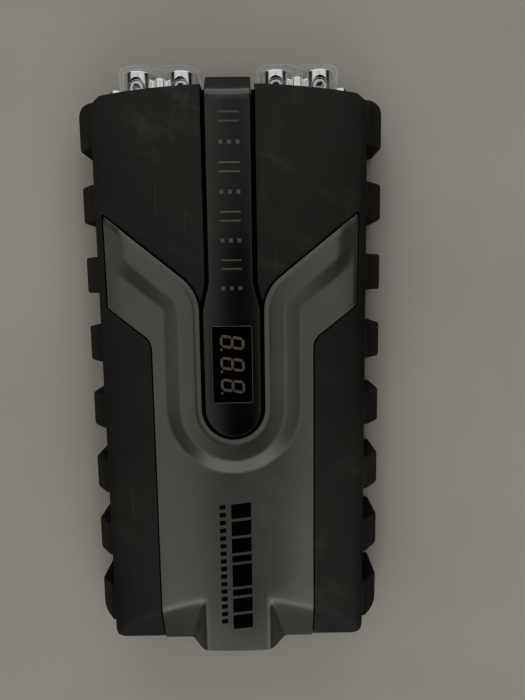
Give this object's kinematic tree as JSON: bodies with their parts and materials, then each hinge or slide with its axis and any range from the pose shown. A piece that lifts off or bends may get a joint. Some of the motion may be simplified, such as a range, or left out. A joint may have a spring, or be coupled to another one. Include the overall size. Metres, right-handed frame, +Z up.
{
  "type": "car audio power capacitor",
  "caption": "Ribbed flat case with a crowned cover, a raised Y-shaped trim, a display spine and two twin-barrel cable terminals under clear covers.",
  "frame": {"origin": "centre of the bounding box at the underside of the case", "axes": "+Z up from the underside, +Y along the case towards the terminals, +X to the right, the positive side, when seen from above with the terminals away from the viewer"},
  "size_m": [0.183, 0.3486, 0.0616],
  "materials": {
    "housing_black": "fine moulded grain, satin black",
    "trim_grey": "satin grey paint with light scuffs",
    "spine_grey": "semi-gloss dark grey",
    "smoked_lens": "smoked red acrylic",
    "module_black": "gloss black",
    "segment_grey": "unlit light grey",
    "board_green": "solder mask",
    "screw_steel": "zinc plated",
    "lead_grey": "flat grey ribbon",
    "ceramic_white": "cement resistor",
    "capacitor_blue": "shrink sleeve",
    "connector_cream": "nylon",
    "buzzer_black": "moulded",
    "cell_aluminium": "satin",
    "winding_dark": "paper and carbon foil",
    "sleeve_blue": "shrink sleeve",
    "copper": "tinned copper bar",
    "cradle_black": "moulded nylon",
    "chrome": "polished",
    "set_screw_steel": "nickel plated",
    "clear_plastic": "clear polycarbonate",
    "screw_black": "black oxide"
  },
  "bodies": {
    "case": {"base_shell": "housing_black", "top_cover": "housing_black", "trim_panel": "trim_grey", "spine": "spine_grey", "display_lens": "smoked_lens", "display_module": "module_black", "display_segments": "segment_grey", "display_board": "board_green", "display_screws": "screw_steel", "display_lead": "lead_grey", "balance_board": "board_green", "balance_resistors": "ceramic_white", "balance_capacitors": "capacitor_blue", "board_connector": "connector_cream", "buzzer": "buzzer_black", "cell_1": "cell_aluminium", "cell_2": "cell_aluminium", "cell_3": "cell_aluminium", "cell_4": "cell_aluminium", "cell_5": "cell_aluminium", "cell_6": "cell_aluminium", "winding_1": "winding_dark", "winding_2": "winding_dark", "winding_3": "winding_dark", "winding_4": "winding_dark", "winding_5": "winding_dark", "winding_6": "winding_dark", "sleeve_1": "sleeve_blue", "sleeve_2": "sleeve_blue", "sleeve_3": "sleeve_blue", "sleeve_4": "sleeve_blue", "sleeve_5": "sleeve_blue", "sleeve_6": "sleeve_blue", "inline_links": "copper", "link_studs": "screw_steel", "rear_link": "copper", "end_bolts": "screw_steel", "positive_busbar": "copper", "negative_busbar": "copper", "busbar_bolts": "screw_steel", "cradle_1": "cradle_black", "cradle_2": "cradle_black", "cradle_3": "cradle_black", "clamp_1": "cradle_black", "clamp_2": "cradle_black", "clamp_3": "cradle_black", "clamp_screws": "screw_steel", "terminal_panel": "housing_black", "panel_screws": "chrome", "positive_terminal": "chrome", "negative_terminal": "chrome", "case_screws": "screw_black", "spine_screws": "screw_steel"},
    "set_screw_1": {"set_screw_1": "set_screw_steel"},
    "set_screw_2": {"set_screw_2": "set_screw_steel"},
    "set_screw_3": {"set_screw_3": "set_screw_steel"},
    "set_screw_4": {"set_screw_4": "set_screw_steel"},
    "positive_cover": {"positive_cover": "clear_plastic"},
    "negative_cover": {"negative_cover": "clear_plastic"}
  },
  "joints": [
    {"name": "set_screw_1_travel", "type": "slide", "parent": "case", "child": "set_screw_1", "axis": [0, 0, -1], "range_m": [0, 0.005]},
    {"name": "set_screw_2_travel", "type": "slide", "parent": "case", "child": "set_screw_2", "axis": [0, 0, -1], "range_m": [0, 0.005]},
    {"name": "set_screw_3_travel", "type": "slide", "parent": "case", "child": "set_screw_3", "axis": [0, 0, -1], "range_m": [0, 0.005]},
    {"name": "set_screw_4_travel", "type": "slide", "parent": "case", "child": "set_screw_4", "axis": [0, 0, -1], "range_m": [0, 0.005]},
    {"name": "positive_cover_slide", "type": "slide", "parent": "case", "child": "positive_cover", "axis": [0, 1, 0], "range_m": [0, 0.035]},
    {"name": "negative_cover_slide", "type": "slide", "parent": "case", "child": "negative_cover", "axis": [0, 1, 0], "range_m": [0, 0.035]}
  ]
}
